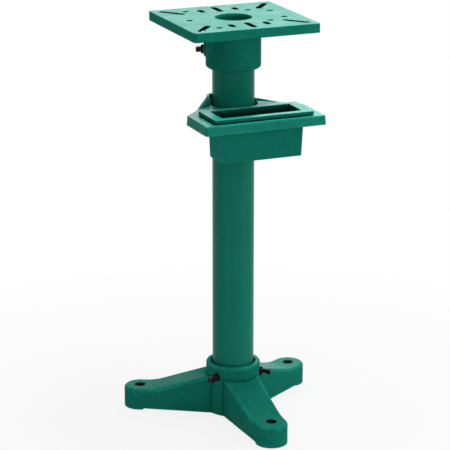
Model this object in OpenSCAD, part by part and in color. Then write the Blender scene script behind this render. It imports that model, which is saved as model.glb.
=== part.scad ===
// Bench grinder stand: a three-legged base casting, a tubular column, a slotted top plate,
// and a tool tray that slides on the column and holds a lift-out water pot.
// Square-head set screws with lock nuts hold the three castings to the column.
// Millimetres. The origin is on the floor at the column's axis, +Z is up, the front faces -Y.

/* [Stand] */
// Height of the top plate's face above the floor
stand_h = 802; // [760:1:900]

/* [Column] */
// Outer diameter of the tube
column_d = 82; // [78:0.5:84]
// Wall thickness of the tube
column_wall = 4; // [3:0.5:6]
// Gap all round between the tube and a casting that is bored to fit it
fit_gap = 0.3; // [0.2:0.05:0.4]

/* [Base hub] */
// Outer diameter of the hub
hub_d = 108; // [104:1:120]
// Height of the hub's top face above the floor
hub_h = 106.5; // [100:0.5:130]
// Gap between the tube and the hub's bore above the register
hub_gap = 3.4; // [2:0.1:4]
// Radius of the hub's outer top edge
hub_round = 5; // [2:0.5:6]
// Radius of the hub's inner top edge
hub_lip_round = 1.6; // [1:0.1:2]
// Thickness of the flange that the tube stands on
seat_t = 8; // [5:0.5:15]
// Width of the flange inside the tube's outer surface
seat_w = 12; // [8:0.5:20]
// Height of the register that centres the tube's foot
register_h = 14; // [8:1:25]

/* [Base legs] */
// Radius of the circle on which the feet's holes lie
foot_circle_r = 189.5; // [175:0.5:220]
// Diameter of a foot's round end
foot_d = 63.5; // [56:0.5:70]
// Height of a foot's flat top
foot_h = 44; // [36:1:50]
// Diameter of the hole in a foot
foot_hole_d = 20; // [12:0.5:24]
// Distance from the axis at which a foot's flat top begins
knee_r = 163; // [155:1:168]
// Width of a leg at that distance
knee_w = 66; // [63:0.5:72]
// Height of a leg's top where it meets the hub
leg_root_h = 78; // [70:1:90]
// Width of a leg where it meets the hub
leg_root_w = 74; // [66:1:80]
// Radius of a leg's top edges
leg_round = 6.5; // [4:0.5:9]
// Height of the legs' and the hub's underside above the floor
leg_lift = 3.5; // [2:0.5:6]
// Length of the pad under a foot, measured inwards from the hole's centre
pad_in = 11; // [0:0.5:20]

/* [Top plate] */
// Width of the plate, left to right
plate_w = 256; // [250:1:290]
// Depth of the plate, front to back
plate_depth = 238; // [230:1:270]
// Height of the plate's edge
plate_h = 18.5; // [16:0.5:26]
// Thickness of the plate's web
plate_web = 7; // [5:0.5:10]
// Thickness of the plate's skirt
plate_skirt = 6; // [4:0.5:7]
// Radius of the plate's upright corners
plate_corner_r = 3.5; // [3:0.5:12]
// Diameter of the centre hole
centre_hole_d = 71; // [60:1:73]
// Outer diameter of the collar under the plate
plate_collar_d = 107; // [100:1:116]
// Length of the collar below the plate's top face
plate_collar_l = 97; // [80:1:110]
// Radius of the collar's lower outer edge
plate_collar_round = 6; // [2:0.5:8]
// Radius of the cove between the collar and the web
plate_cove = 5; // [3:0.5:8]

/* [Plate slots and holes] */
// Width of every slot
slot_w = 11; // [9:0.5:12]
// Length of a diagonal slot, end to end
corner_slot_l = 56; // [40:1:58]
// Distance of a diagonal slot's centre from the axis, left or right
corner_slot_x = 94; // [88:0.5:95]
// Distance of a diagonal slot's centre from the axis, front or back
corner_slot_y = 81.5; // [78:0.5:83]
// Angle of a diagonal slot from the plate's front edge
corner_slot_angle = 51; // [45:1:56]
// Length of the middle slots, end to end
middle_slot_l = 46; // [30:1:50]
// Distance of a middle slot's centre from the axis
middle_slot_y = 81.5; // [76:0.5:82]
// Length of the short slots, end to end
short_slot_l = 25; // [18:1:30]
// Distance of a short slot's centre from the axis, left or right
short_slot_x = 35.5; // [30:0.5:42]
// Distance of a short slot's centre from the axis, front or back
short_slot_y = 76; // [72:0.5:82]
// Diameter of the round holes
plate_hole_d = 12.5; // [10:0.5:13]
// Distance left of the axis of the outer pair of holes
hole_a_x = 64.5; // [62:0.5:67]
// Distance from the axis of the outer pair, front or back
hole_a_y = 84.5; // [76:0.5:90]
// Distance left of the axis of the single hole
hole_b_x = 90; // [80:0.5:100]
// Distance right of the axis of the inner pair of holes
hole_c_x = 53; // [52:0.5:58]
// Distance from the axis of the inner pair, front or back
hole_c_y = 54.5; // [50:0.5:56]
// Distance right of the axis of the side pair of holes
hole_d_x = 91; // [84:0.5:98]
// Distance from the axis of the side pair, front or back
hole_d_y = 33; // [26:0.5:36]

/* [Tool tray] */
// Distance of the tray's top face below the top plate's face
tray_drop = 168; // [157:1:212]
// Width of the tray, left to right
tray_w = 245; // [236:1:260]
// Distance of the tray's front edge from the axis
tray_front = 162; // [160:0.5:180]
// Distance from the axis at which the straight sides end
tray_side_end = 60.5; // [58:0.5:72]
// Depth of the tray's edge
tray_h = 18; // [15:0.5:24]
// Thickness of the tray's web
tray_web = 6; // [4:0.5:8]
// Thickness of the tray's skirt
tray_skirt = 6; // [4:0.5:8]
// Radius of the tray's front corners
tray_corner_r = 6; // [4:0.5:10]
// Gap between the tube and the tray's bore
tray_gap = 6; // [5:0.1:7]
// Wall of the tray's collar below the web
tray_collar_wall = 8; // [7:0.5:9]
// Depth of the tray's collar below the tray's top face
tray_collar_l = 58; // [52:1:66]
// Height of the rim's and cheeks' top at the left edge of the tray, abreast of the axis
tray_rim_left_h = 17; // [14:0.5:20]
// The same at the right edge, to which that top slopes down
tray_rim_right_h = 2.5; // [2:0.5:8]
// Wall of the raised rim
tray_rim_wall = 5; // [4:0.5:7]
// Distance in front of the axis at which the cheeks and the rim start to rise
crest_low = 25; // [16:0.5:28]
// Distance behind the axis at which that rise reaches the left edge's height
crest_full = 11; // [8:0.5:30]
// Thickness of a cheek
cheek_t = 6; // [4:0.5:8]
// Step from the tray's edge in to a cheek's outer face
cheek_step = 0.5; // [0.3:0.1:1]

/* [Water pot] */
// Width of the pot's flange, left to right
pot_flange_w = 201.5; // [194:0.5:206]
// Distance from the axis of the flange's rear edge
pot_flange_rear = 67.5; // [64:0.5:69]
// Distance from the axis of the flange's front edge
pot_flange_front = 152; // [150:0.5:156]
// Radius of the flange's upright corners
pot_flange_r = 2; // [1.5:0.5:6]
// Thickness of the flange
pot_flange_t = 7; // [5:0.5:9]
// Height of the land below the flange, on which the pot rests
pot_land_h = 1.5; // [1:0.25:2]
// Width of that land on the tray's face
pot_land_w = 2; // [1.5:0.25:2]
// Width of the pot's mouth
pot_mouth_w = 162; // [154:1:164]
// Distance from the axis of the mouth's rear edge
pot_mouth_rear = 80; // [79.5:0.5:84]
// Distance from the axis of the mouth's front edge
pot_mouth_front = 137.5; // [133:0.5:138]
// Wall of the pot at its mouth, left and right
pot_wall = 5; // [4:0.5:6]
// Wall of the pot at its mouth, front and back
pot_end_wall = 5.5; // [5:0.5:6]
// Draft of the pot's sides from top to bottom
pot_draft = 4.5; // [2:0.5:6]
// Depth of the pot below the flange's top
pot_h = 88.5; // [70:0.5:90]
// Thickness of the pot's floor
pot_floor = 5; // [4:0.5:8]
// Radius of the pot's upright corners
pot_corner_r = 6; // [5:0.5:10]
// Gap between the pot and the edge of the tray's opening
pot_gap = 2; // [1:0.25:2]

/* [Set screws and lock nuts] */
// Diameter of the set screws
screw_d = 10; // [8:0.5:10]
// Width of a screw's square head
head_w = 10; // [9:0.5:12]
// Length of a screw's head
head_l = 8; // [6:0.5:10]
// Bevel at a screw's point and head
screw_bevel = 1; // [0.5:0.1:1.5]
// Width across a lock nut's flats
nut_w = 16; // [15:0.5:17]
// Thickness of a lock nut
nut_t = 6.5; // [5:0.5:8]
// Radial gap of a screw in its hole and in its nut
thread_gap = 0.06; // [0.02:0.01:0.1]
// Gap between a screw's point and the tube
point_gap = 0.3; // [0.2:0.05:0.4]
// Depth of the flat that is cut in the hub under a nut
spot_depth = 0.8; // [0.8:0.1:1.5]
// Diameter of the bosses on the plate's and the tray's collars
boss_d = 26; // [24:0.5:30]
// Height of those bosses above their collar
boss_h = 3; // [2:0.5:5]
// Bare thread between nut and head on the base
base_bare = 8; // [5:0.5:12]
// Bare thread between nut and head on the tray
tray_bare = 3; // [2:0.5:8]
// Bare thread between nut and head on the plate
plate_bare = 1.5; // [1:0.5:6]
// Height of the base's screws above the floor
base_screw_z = 84; // [80:0.5:92]
// Depth of the tray's screws below the tray's top face
tray_screw_drop = 42; // [38:0.5:45]
// Depth of the plate's screws below the plate's top face
plate_screw_drop = 64; // [50:0.5:75]

/* [Hidden] */

// One overrun for every cut that goes right through
over = 2;
// Facets of round cuts and bodies, and of the balls that blend a leg
$fn = 96;
blend_fn = 28;

// Directions, in degrees from +X
leg_angles = [-90, 30, 150];
left_low = -150;
right_low = -30;
rear = 90;
left_high = 150;
right_high = 30;

// Radii that the column sets
column_r = column_d / 2;
socket_r = column_r + fit_gap;
hub_r = hub_d / 2;
hub_bore_r = column_r + hub_gap;
seat_r = column_r - seat_w;
tray_bore_r = column_r + tray_gap;
tray_collar_r = tray_bore_r + tray_collar_wall;
tray_rim_r = tray_bore_r + tray_rim_wall;
plate_collar_r = plate_collar_d / 2;

// Heights
column_z0 = leg_lift + seat_t;
web_z = stand_h - plate_web;
plate_root_z = stand_h - plate_web / 2;
plate_screw_z = stand_h - plate_screw_drop;
skirt_z = stand_h - plate_h;
plate_collar_z = stand_h - plate_collar_l;
tray_z = stand_h - tray_drop;
tray_skirt_z = tray_z - tray_h;
tray_root_z = tray_z - tray_web / 2;
tray_collar_z = tray_z - tray_collar_l;
tray_screw_z = tray_z - tray_screw_drop;
pot_flange_z = tray_z + pot_land_h;
pot_top_z = pot_flange_z + pot_flange_t;
pot_z0 = pot_top_z - pot_h;

// The faces on which the nuts seat, measured from the axis
base_seat_r = hub_r - spot_depth;
tray_seat_r = tray_collar_r + boss_h;
plate_seat_r = plate_collar_r + boss_h;

// The pot's body, and the corners of the tray's opening round it
pot_half_w = pot_mouth_w / 2 + pot_wall;
pot_front_y = -pot_mouth_front - pot_end_wall;
pot_rear_y = -pot_mouth_rear + pot_end_wall;
opening_low = [-pot_half_w - pot_gap, pot_front_y - pot_gap];
opening_high = [pot_half_w + pot_gap, pot_rear_y + pot_gap];
opening_r = pot_corner_r + pot_gap;

// Where a point on the tray's 45 degree edge lies, as |x| + y
tray_edge_sum = tray_w / 2 - tray_side_end;

// The crest of the cheeks and the rim: where it passes their root, in front of the axis, and the
// fall of their top for each millimetre to the right
crest_root = crest_low + (crest_low + crest_full) * tray_web / 2 / tray_rim_left_h;
rim_fall = (tray_rim_left_h - tray_rim_right_h) / (2 * tray_edge_sum);

// A ring about +Z from z0 to z1, with its top edges rounded
module round_topped_ring(r_in, r_out, z0, z1, round_out, round_in) {
    rotate_extrude() {
        translate([r_in, z0]) square([r_out - r_in, z1 - z0 - round_out]);
        translate([r_in + round_in, z0]) square([r_out - r_in - round_in - round_out, z1 - z0]);
        translate([r_out - round_out, z1 - round_out]) circle(round_out);
        translate([r_in, z0]) square([round_in, z1 - z0 - round_in]);
        translate([r_in + round_in, z1 - round_in]) circle(round_in);
    }
}

// A rectangle with round corners, from its low corner to its high corner
module round_rectangle(low, high, r) {
    translate([low[0] + r, low[1]]) square([high[0] - low[0] - 2 * r, high[1] - low[1]]);
    translate([low[0], low[1] + r]) square([high[0] - low[0], high[1] - low[1] - 2 * r]);
    for (x = [low[0] + r, high[0] - r], y = [low[1] + r, high[1] - r])
        translate([x, y]) circle(r);
}

// A slot of the given length between round ends, running along Y
module slot(length) {
    square([slot_w, length - slot_w], center = true);
    for (side = [-1, 1]) translate([0, side * (length - slot_w) / 2]) circle(slot_w / 2);
}

// Turns its children so that their +Z points away from the column, in direction angle
module radially(angle, z, r) {
    rotate([0, 0, angle]) translate([r, 0, z]) rotate([0, 90, 0]) children();
}

// The clearance hole of one set screw, from inside the bore to past the casting
module screw_hole(angle, z, r_end) {
    radially(angle, z, seat_r) cylinder(r = screw_d / 2 + thread_gap, h = r_end - seat_r + over);
}

// A square-head set screw whose point nearly touches the tube
module set_screw(angle, z, seat, bare) {
    point_r = column_r + point_gap;
    head_r = seat + nut_t + bare;
    shank_r = screw_d / 2;
    color("#2b2a29") {
        radially(angle, z, point_r) rotate_extrude() polygon([
            [0, 0], [shank_r - screw_bevel, 0], [shank_r, screw_bevel],
            [shank_r, head_r - point_r], [0, head_r - point_r]]);
        radially(angle, z, head_r) intersection() {
            translate([-head_w / 2, -head_w / 2, 0]) cube([head_w, head_w, head_l]);
            rotate_extrude() polygon([
                [0, 0], [head_w, 0], [head_w, head_l - head_w / 2 + screw_bevel],
                [head_w / 2 + screw_bevel, head_l], [0, head_l]]);
        }
    }
}

// A hexagonal lock nut seated on its casting
module lock_nut(angle, z, seat) {
    corner_r = nut_w / 2 / cos(30);
    color("#2b2a29") radially(angle, z, seat) difference() {
        intersection() {
            cylinder(r = corner_r, h = nut_t, $fn = 6);
            rotate_extrude() polygon([
                [0, 0], [nut_w / 2, 0], [corner_r, (corner_r - nut_w / 2) / 2],
                [corner_r, nut_t - (corner_r - nut_w / 2) / 2], [nut_w / 2, nut_t], [0, nut_t]]);
        }
        translate([0, 0, -over]) cylinder(r = screw_d / 2 + thread_gap, h = nut_t + 2 * over);
    }
}

// Balls and posts at one end of a leg: half width, height of the top, distance from the axis
module leg_end(r, half_w, top_z) {
    for (side = [-1, 1]) translate([r, side * (half_w - leg_round), 0]) {
        translate([0, 0, top_z - leg_round]) sphere(r = leg_round, $fn = blend_fn);
        translate([0, 0, leg_lift])
            cylinder(r = leg_round, h = top_z - leg_lift - leg_round, $fn = blend_fn);
    }
}

module leg() {
    foot_r = foot_d / 2;
    slope = (leg_root_h - foot_h) / (knee_r - hub_r);
    root_r = hub_bore_r + leg_round;
    hull() {
        leg_end(root_r, leg_root_w / 2, leg_root_h + slope * (hub_r - root_r));
        leg_end(knee_r, knee_w / 2, foot_h);
    }
    hull() {
        leg_end(knee_r, knee_w / 2, foot_h);
        leg_end(foot_circle_r, foot_r, foot_h);
    }
    translate([foot_circle_r, 0, 0]) difference() {
        rotate_extrude() {
            square([foot_r, foot_h - leg_round]);
            square([foot_r - leg_round, foot_h]);
            translate([foot_r - leg_round, foot_h - leg_round]) circle(leg_round);
        }
        translate([-foot_d, -foot_d, -over]) cube([foot_d - pad_in, 2 * foot_d, over + leg_lift]);
    }
}

module base_casting() {
    color("#0c7a66") difference() {
        union() {
            round_topped_ring(hub_bore_r, hub_r, leg_lift, hub_h, hub_round, hub_lip_round);
            translate([0, 0, leg_lift])
                cylinder(r = hub_bore_r + hub_lip_round, h = seat_t + register_h);
            for (angle = leg_angles) rotate([0, 0, angle]) leg();
        }
        translate([0, 0, -over]) cylinder(r = seat_r, h = hub_h);
        translate([0, 0, column_z0]) cylinder(r = socket_r, h = register_h + over);
        translate([0, 0, column_z0 + register_h]) cylinder(r = hub_bore_r, h = hub_h);
        for (angle = leg_angles) rotate([0, 0, angle]) translate([foot_circle_r, 0, -over])
            cylinder(d = foot_hole_d, h = foot_h + 2 * over);
        for (angle = [left_low, right_low, rear]) {
            screw_hole(angle, base_screw_z, hub_r);
            radially(angle, base_screw_z, base_seat_r) cylinder(r = nut_w / 2 + over, h = over);
        }
    }
}

module column_tube() {
    color("#0f7d69") translate([0, 0, column_z0]) difference() {
        cylinder(r = column_r, h = web_z - column_z0);
        translate([0, 0, -over]) cylinder(r = column_r - column_wall, h = web_z - column_z0 + 2 * over);
    }
}

module top_plate() {
    half = [plate_w / 2, plate_depth / 2];
    inner = half - [plate_skirt, plate_skirt];
    color("#12826d") difference() {
        union() {
            difference() {
                translate([0, 0, skirt_z]) linear_extrude(plate_h)
                    round_rectangle(-half, half, plate_corner_r);
                translate([0, 0, skirt_z - over]) linear_extrude(plate_h - plate_web + over)
                    round_rectangle(-inner, inner, plate_corner_r / 2);
            }
            plate_collar();
        }
        translate([0, 0, plate_collar_z - over]) cylinder(r = socket_r, h = web_z - plate_collar_z + over);
        translate([0, 0, web_z - over]) linear_extrude(plate_web + 2 * over) {
            circle(d = centre_hole_d);
            for (sx = [-1, 1], sy = [-1, 1]) {
                translate([sx * corner_slot_x, sy * corner_slot_y])
                    rotate(sx * sy * (corner_slot_angle - 90)) slot(corner_slot_l);
                translate([sx * short_slot_x, sy * short_slot_y]) slot(short_slot_l);
            }
            for (sy = [-1, 1]) {
                translate([0, sy * middle_slot_y]) slot(middle_slot_l);
                translate([-hole_a_x, sy * hole_a_y]) circle(d = plate_hole_d);
                translate([hole_c_x, sy * hole_c_y]) circle(d = plate_hole_d);
                translate([hole_d_x, sy * hole_d_y]) circle(d = plate_hole_d);
            }
            translate([-hole_b_x, 0]) circle(d = plate_hole_d);
        }
        for (angle = [left_high, right_high])
            screw_hole(angle, plate_screw_z, plate_seat_r);
    }
}

// The collar below the plate, with a round lower edge, a cove at the web and two bosses
module plate_collar() {
    rotate_extrude() {
        translate([column_r, plate_collar_z + plate_collar_round])
            square([plate_collar_r - column_r, plate_root_z - plate_collar_z - plate_collar_round]);
        translate([column_r, plate_collar_z])
            square([plate_collar_r - plate_collar_round - column_r, plate_collar_round]);
        translate([plate_collar_r - plate_collar_round, plate_collar_z + plate_collar_round])
            circle(plate_collar_round);
        difference() {
            translate([plate_collar_r, web_z - plate_cove]) square([plate_cove, plate_root_z - web_z + plate_cove]);
            translate([plate_collar_r + plate_cove, web_z - plate_cove]) circle(plate_cove);
        }
    }
    for (angle = [left_high, right_high]) {
        radially(angle, plate_screw_z, socket_r) {
            cylinder(d = boss_d, h = plate_seat_r - socket_r);
            translate([plate_screw_z - plate_root_z, -boss_d / 2, 0])
                cube([plate_root_z - plate_screw_z, boss_d, plate_seat_r - socket_r]);
        }
    }
}

// The tray's outline, drawn in by inset on every side
module tray_outline(inset) {
    side_x = tray_w / 2 - inset;
    front_y = -tray_front + inset;
    corner_r = tray_corner_r - min(inset, tray_corner_r / 2);
    edge_sum = tray_edge_sum - inset * sqrt(2);
    polygon([
        [-side_x + corner_r, front_y], [side_x - corner_r, front_y],
        [side_x, front_y + corner_r], [side_x, edge_sum - side_x],
        [edge_sum / 2, edge_sum / 2], [-edge_sum / 2, edge_sum / 2],
        [-side_x, edge_sum - side_x], [-side_x, front_y + corner_r]]);
    for (side = [-1, 1]) translate([side * (side_x - corner_r), front_y + corner_r]) circle(corner_r);
}

// The upright walls on the tray: the rim behind the tube, and a cheek along each slanted edge,
// cut off by a crest that rises to the rear and by a top that slopes down from left to right
module tray_walls() {
    edge_r = tray_edge_sum / sqrt(2) - cheek_step;
    cheek_l = edge_r + crest_root * sqrt(2) + cheek_t;
    rear_y = tray_rim_r + over;
    far_x = tray_edge_sum + crest_root;
    translate([0, 0, tray_z]) intersection() {
        translate([0, 0, -tray_web / 2]) linear_extrude(tray_web / 2 + tray_rim_left_h) {
            for (angle = [0, 90]) rotate(angle) intersection() {
                circle(tray_rim_r);
                square(tray_rim_r);
            }
            for (side = [0, 1]) mirror([side, 0]) rotate(45)
                translate([edge_r - cheek_t, -cheek_l]) square([cheek_t, cheek_l]);
        }
        rotate([90, 0, 90]) translate([0, 0, -tray_w]) linear_extrude(2 * tray_w) polygon([
            [-crest_root, -tray_web / 2], [rear_y, -tray_web / 2], [rear_y, tray_rim_left_h],
            [crest_full, tray_rim_left_h], [-crest_low, 0]]);
        rotate([90, 0, 0]) translate([0, 0, -far_x]) linear_extrude(2 * far_x) polygon([
            [-far_x, -tray_web], [far_x, -tray_web],
            [far_x, tray_rim_right_h - crest_root * rim_fall],
            [-far_x, tray_rim_left_h + crest_root * rim_fall]]);
    }
}

module tool_tray() {
    color("#0f7d69") difference() {
        union() {
            translate([0, 0, tray_z - tray_web]) linear_extrude(tray_web) {
                tray_outline(0);
                circle(tray_collar_r);
            }
            translate([0, 0, tray_skirt_z]) linear_extrude(tray_root_z - tray_skirt_z) difference() {
                tray_outline(0);
                tray_outline(tray_skirt);
            }
            translate([0, 0, tray_collar_z]) cylinder(r = tray_collar_r, h = tray_root_z - tray_collar_z);
            tray_walls();
            for (angle = [left_low, right_low, rear])
                radially(angle, tray_screw_z, column_r) cylinder(d = boss_d, h = tray_seat_r - column_r);
        }
        translate([0, 0, tray_collar_z - over]) cylinder(r = tray_bore_r, h = tray_collar_l + tray_rim_left_h + 2 * over);
        translate([0, 0, tray_skirt_z - over]) linear_extrude(tray_h + 2 * over)
            round_rectangle(opening_low, opening_high, opening_r);
        for (angle = [left_low, right_low, rear])
            screw_hole(angle, tray_screw_z, tray_seat_r);
    }
}

// The tapering block between the pot's top and bottom outlines, drawn in by inset
module pot_block(inset_x, inset_y, z0, z1, corner_r) {
    half_w = pot_half_w - inset_x;
    low_y = pot_front_y + inset_y;
    high_y = pot_rear_y - inset_y;
    hull() for (side = [-1, 1], end = [0, 1]) {
        top_y = end == 0 ? low_y + corner_r : high_y - corner_r;
        draft_y = end == 0 ? pot_draft : -pot_draft;
        translate([side * (half_w - corner_r), top_y, z1 - over]) cylinder(r = corner_r, h = over, $fn = 32);
        translate([side * (half_w - pot_draft - corner_r), top_y + draft_y, z0 + corner_r])
            sphere(r = corner_r, $fn = 32);
    }
}

module water_pot() {
    land = [pot_land_w, pot_land_w];
    mouth_round = pot_corner_r - pot_wall / 2;
    color("#0f7d69") difference() {
        union() {
            translate([0, 0, pot_flange_z]) linear_extrude(pot_flange_t)
                round_rectangle([-pot_flange_w / 2, -pot_flange_front],
                    [pot_flange_w / 2, -pot_flange_rear], pot_flange_r);
            translate([0, 0, tray_z]) linear_extrude(pot_land_h + pot_flange_t / 2)
                round_rectangle(opening_low - land, opening_high + land, opening_r + pot_land_w);
            pot_block(0, 0, pot_z0, pot_top_z, pot_corner_r);
        }
        pot_block(pot_wall, pot_end_wall, pot_z0 + pot_floor, pot_top_z + over, mouth_round);
    }
}

module base_screw(angle) { set_screw(angle, base_screw_z, base_seat_r, base_bare); }
module tray_screw(angle) { set_screw(angle, tray_screw_z, tray_seat_r, tray_bare); }
module plate_screw(angle) { set_screw(angle, plate_screw_z, plate_seat_r, plate_bare); }
module base_nut(angle) { lock_nut(angle, base_screw_z, base_seat_r); }
module tray_nut(angle) { lock_nut(angle, tray_screw_z, tray_seat_r); }
module plate_nut(angle) { lock_nut(angle, plate_screw_z, plate_seat_r); }

base_casting();
column_tube();
top_plate();
tool_tray();
water_pot();
base_screw(left_low);  // base_set_screw_left
base_screw(right_low);  // base_set_screw_right
base_screw(rear);  // base_set_screw_rear
base_nut(left_low);  // base_lock_nut_left
base_nut(right_low);  // base_lock_nut_right
base_nut(rear);  // base_lock_nut_rear
tray_screw(left_low);  // tray_set_screw_left
tray_screw(right_low);  // tray_set_screw_right
tray_screw(rear);  // tray_set_screw_rear
tray_nut(left_low);  // tray_lock_nut_left
tray_nut(right_low);  // tray_lock_nut_right
tray_nut(rear);  // tray_lock_nut_rear
plate_screw(left_high);  // plate_set_screw_left
plate_screw(right_high);  // plate_set_screw_right
plate_nut(left_high);  // plate_lock_nut_left
plate_nut(right_high);  // plate_lock_nut_right
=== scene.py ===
import math

import bmesh
import bpy
import numpy as np
from mathutils import Matrix, Vector


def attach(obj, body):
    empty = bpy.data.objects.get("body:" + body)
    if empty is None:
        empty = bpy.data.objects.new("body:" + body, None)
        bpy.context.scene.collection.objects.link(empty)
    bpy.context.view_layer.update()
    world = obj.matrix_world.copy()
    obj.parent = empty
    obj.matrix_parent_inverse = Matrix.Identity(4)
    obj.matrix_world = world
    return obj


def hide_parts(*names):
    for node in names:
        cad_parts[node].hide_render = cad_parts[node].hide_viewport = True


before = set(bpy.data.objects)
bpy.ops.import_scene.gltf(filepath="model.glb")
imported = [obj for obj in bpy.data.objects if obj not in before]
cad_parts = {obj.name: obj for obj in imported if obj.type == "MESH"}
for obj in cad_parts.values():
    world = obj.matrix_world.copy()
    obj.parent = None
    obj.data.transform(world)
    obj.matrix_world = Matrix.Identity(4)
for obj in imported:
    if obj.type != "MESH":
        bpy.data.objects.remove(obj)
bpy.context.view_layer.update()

# The bench grinder stand's visible pieces, in millimetres until they become meshes.
# Each casting, screw and nut is a distance field with rounded edges, turned into quads that lie
# on the field's surface and carry its normals.
MM = 0.001

# Sizes of the CAD model, and the radii of its edges and blends
STAND_H = 802
COLUMN_R, COLUMN_WALL, COLUMN_Z0, WEB_Z = 41, 4, 11.5, 795
HUB_R, HUB_H, HUB_BORE_R, SOCKET_R, SEAT_R = 54, 106.5, 44.4, 41.3, 29
HUB_ROUND, HUB_LIP, SOCKET_LIP, SEAT_LIP = 5, 1.6, 0.6, 0.8
REGISTER_Z = 25.5
FOOT_CIRCLE_R, FOOT_R, FOOT_H, FOOT_HOLE_R = 189.5, 31.75, 44, 10
KNEE_R, KNEE_W, ROOT_H, ROOT_W = 163, 66, 78, 74
LEG_ROUND, LEG_LIFT, PAD_IN, PAD_TOP, PAD_INSET = 6.5, 3.5, 11, 12, 0.25
LEG_START, KNEE_BLEND, LEG_JOIN, FOOT_LIP = -20, 5, 2, 1.4
LEG_ANGLES = (-90, 30, 150)
PLATE_W, PLATE_D, PLATE_H, PLATE_SKIRT, PLATE_CORNER, FRONT_LEFT_CORNER = 256, 238, 18.5, 6, 3.5, 9
PLATE_HOLLOW_ROUND, PLATE_TOP_EDGE, PLATE_SOCKET_EDGE, HOLE_EDGE, BOSS_JOIN = 4, 0.9, 1, 0.5, 4
CENTRE_R, COLLAR_R, COLLAR_Z0, COLLAR_ROUND, COVE = 35.5, 53.5, 705, 6, 5
SLOT_R, HOLE_R = 5.5, 6.25
MIDDLE_SLOT_Y, MIDDLE_SLOT_L = 81.5, 46
CORNER_SLOT_X, CORNER_SLOT_ANGLE, CORNER_SLOT_L = 94, 51, 56
SHORT_SLOT_X, SHORT_SLOT_Y, SHORT_SLOT_L = 35.5, 76, 25
SINGLE_HOLE_X, HOLE_PAIRS = -90, ((-64.5, 84.5), (53, 54.5), (91, 33))
TRAY_Z, TRAY_W, TRAY_FRONT, TRAY_SUM, TRAY_H = 634, 245, 162, 62, 18
TRAY_WEB, TRAY_SKIRT, SKIRT_FLARE, TRAY_CORNER, TRAY_REAR_CORNER = 6, 6, 0.11, 6, 5
TRAY_TOP_EDGE, TRAY_LOW_ROUND, CREST_ROUND = 2.2, 3, 1
TRAY_BORE_R, TRAY_COLLAR_R, TRAY_COLLAR_Z0, TRAY_RIM_R = 47, 55, 576, 52
RIM_LEFT_H, RIM_RIGHT_H, CREST_LOW, CREST_FULL, CHEEK_T, CHEEK_STEP = 17, 2.5, 25, 11, 6, 0.5
POT_FLANGE_X, POT_REAR, POT_FRONT, POT_FLANGE_T = 100.75, 67.5, 152, 7
POT_LAND_H, POT_LAND_W, POT_FLANGE_CORNER = 1.5, 2, 2
MOUTH_X, MOUTH_REAR, MOUTH_FRONT = 81, 80, 137.5
POT_WALL, POT_END_WALL, POT_DRAFT, POT_H, POT_FLOOR = 5, 5.5, 4.5, 88.5, 5
POT_CORNER, POT_GAP = 6, 2
POT_TOP = TRAY_Z + POT_LAND_H + POT_FLANGE_T
SCREW_R, PITCH, THREAD_DEPTH, HEAD_W, HEAD_L, NUT_W, NUT_T = 5, 1.5, 0.75, 10, 8, 16, 6.5
THREAD_GAP, POINT_GAP, CUP_R, HEAD_BEVEL, NUT_BEVEL = 0.06, 0.3, 2.2, 1.6, 1.8
BOSS_R, SPOT_FACE_R, BORE_START = 13, 10, 20
BASE_SEAT, TRAY_SEAT, PLATE_SEAT = 53.2, 58, 56.5
BASE_SCREW_Z, TRAY_SCREW_Z, PLATE_SCREW_Z = 84, 592, 738
LOW_ANGLES = {"left": -150, "right": -30, "rear": 90}
HIGH_ANGLES = {"left": 150, "right": 30}
# Radii of the castings' edges, of their softer ones and of those round a seat or a bore
EDGE, SOFT_EDGE, SEAT_EDGE = 1.2, 1.5, 0.4
# Depth and length of the unevenness that sand leaves on a casting
BASE_SWELL, BASE_GRAIN = (0.35, 46), (0.12, 13)
PLATE_SWELL, PLATE_GRAIN = (0.15, 50), (0.15, 17)
TRAY_SWELL, TRAY_GRAIN = (0.2, 40), (0.12, 15)
POT_SWELL, FLANGE_SWELL, POT_GRAIN = (0.2, 45), (0.15, 30), (0.1, 14)


# Distance fields: negative inside. join rounds the inner corner between two bodies,
# meet rounds the edge that two surfaces share, cut takes b out of a with a rounded edge.
def join(a, b, r):
    u, v = np.maximum(r - a, 0), np.maximum(r - b, 0)
    return np.maximum(r, np.minimum(a, b)) - np.sqrt(u * u + v * v)


def meet(a, b, r):
    u, v = np.maximum(r + a, 0), np.maximum(r + b, 0)
    return np.minimum(-r, np.maximum(a, b)) + np.sqrt(u * u + v * v)


def blend(a, b, r):
    """Like join, for two faces that meet at a shallow angle."""
    return np.minimum(a, b) - np.maximum(r - np.abs(a - b), 0) ** 2 / (4 * r)


def cut(a, b, r):
    return meet(a, -b, r)


def circle(x, y, cx, cy, r):
    return np.hypot(x - cx, y - cy) - r


def rectangle(x, y, low, high, r):
    u = np.abs(x - (low[0] + high[0]) / 2) - (high[0] - low[0]) / 2 + r
    v = np.abs(y - (low[1] + high[1]) / 2) - (high[1] - low[1]) / 2 + r
    return np.minimum(np.maximum(u, v), 0) + np.hypot(np.maximum(u, 0), np.maximum(v, 0)) - r


def slot(x, y, cx, cy, angle, length):
    c, s = math.cos(math.radians(angle)), math.sin(math.radians(angle))
    along, across = (x - cx) * c + (y - cy) * s, (y - cy) * c - (x - cx) * s
    return np.hypot(np.maximum(np.abs(along) - length / 2 + SLOT_R, 0), across) - SLOT_R


def turned(x, y, angle):
    c, s = math.cos(math.radians(angle)), math.sin(math.radians(angle))
    return x * c + y * s, y * c - x * s


# For surface(): grid points along each side of a block, blocks filled in at one time, the
# distance in block sides up to which a block is filled in, and the grid's margin in steps
BLOCK, BATCH, NEAR, MARGIN = 4, 8000, 1.4, 1.37

QUICK_STEP, TILE = 1.8, 16

# Directions and starts of the waves that make up ripple()
WAVES = np.random.default_rng(7).normal(size=(10, 4))


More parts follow.
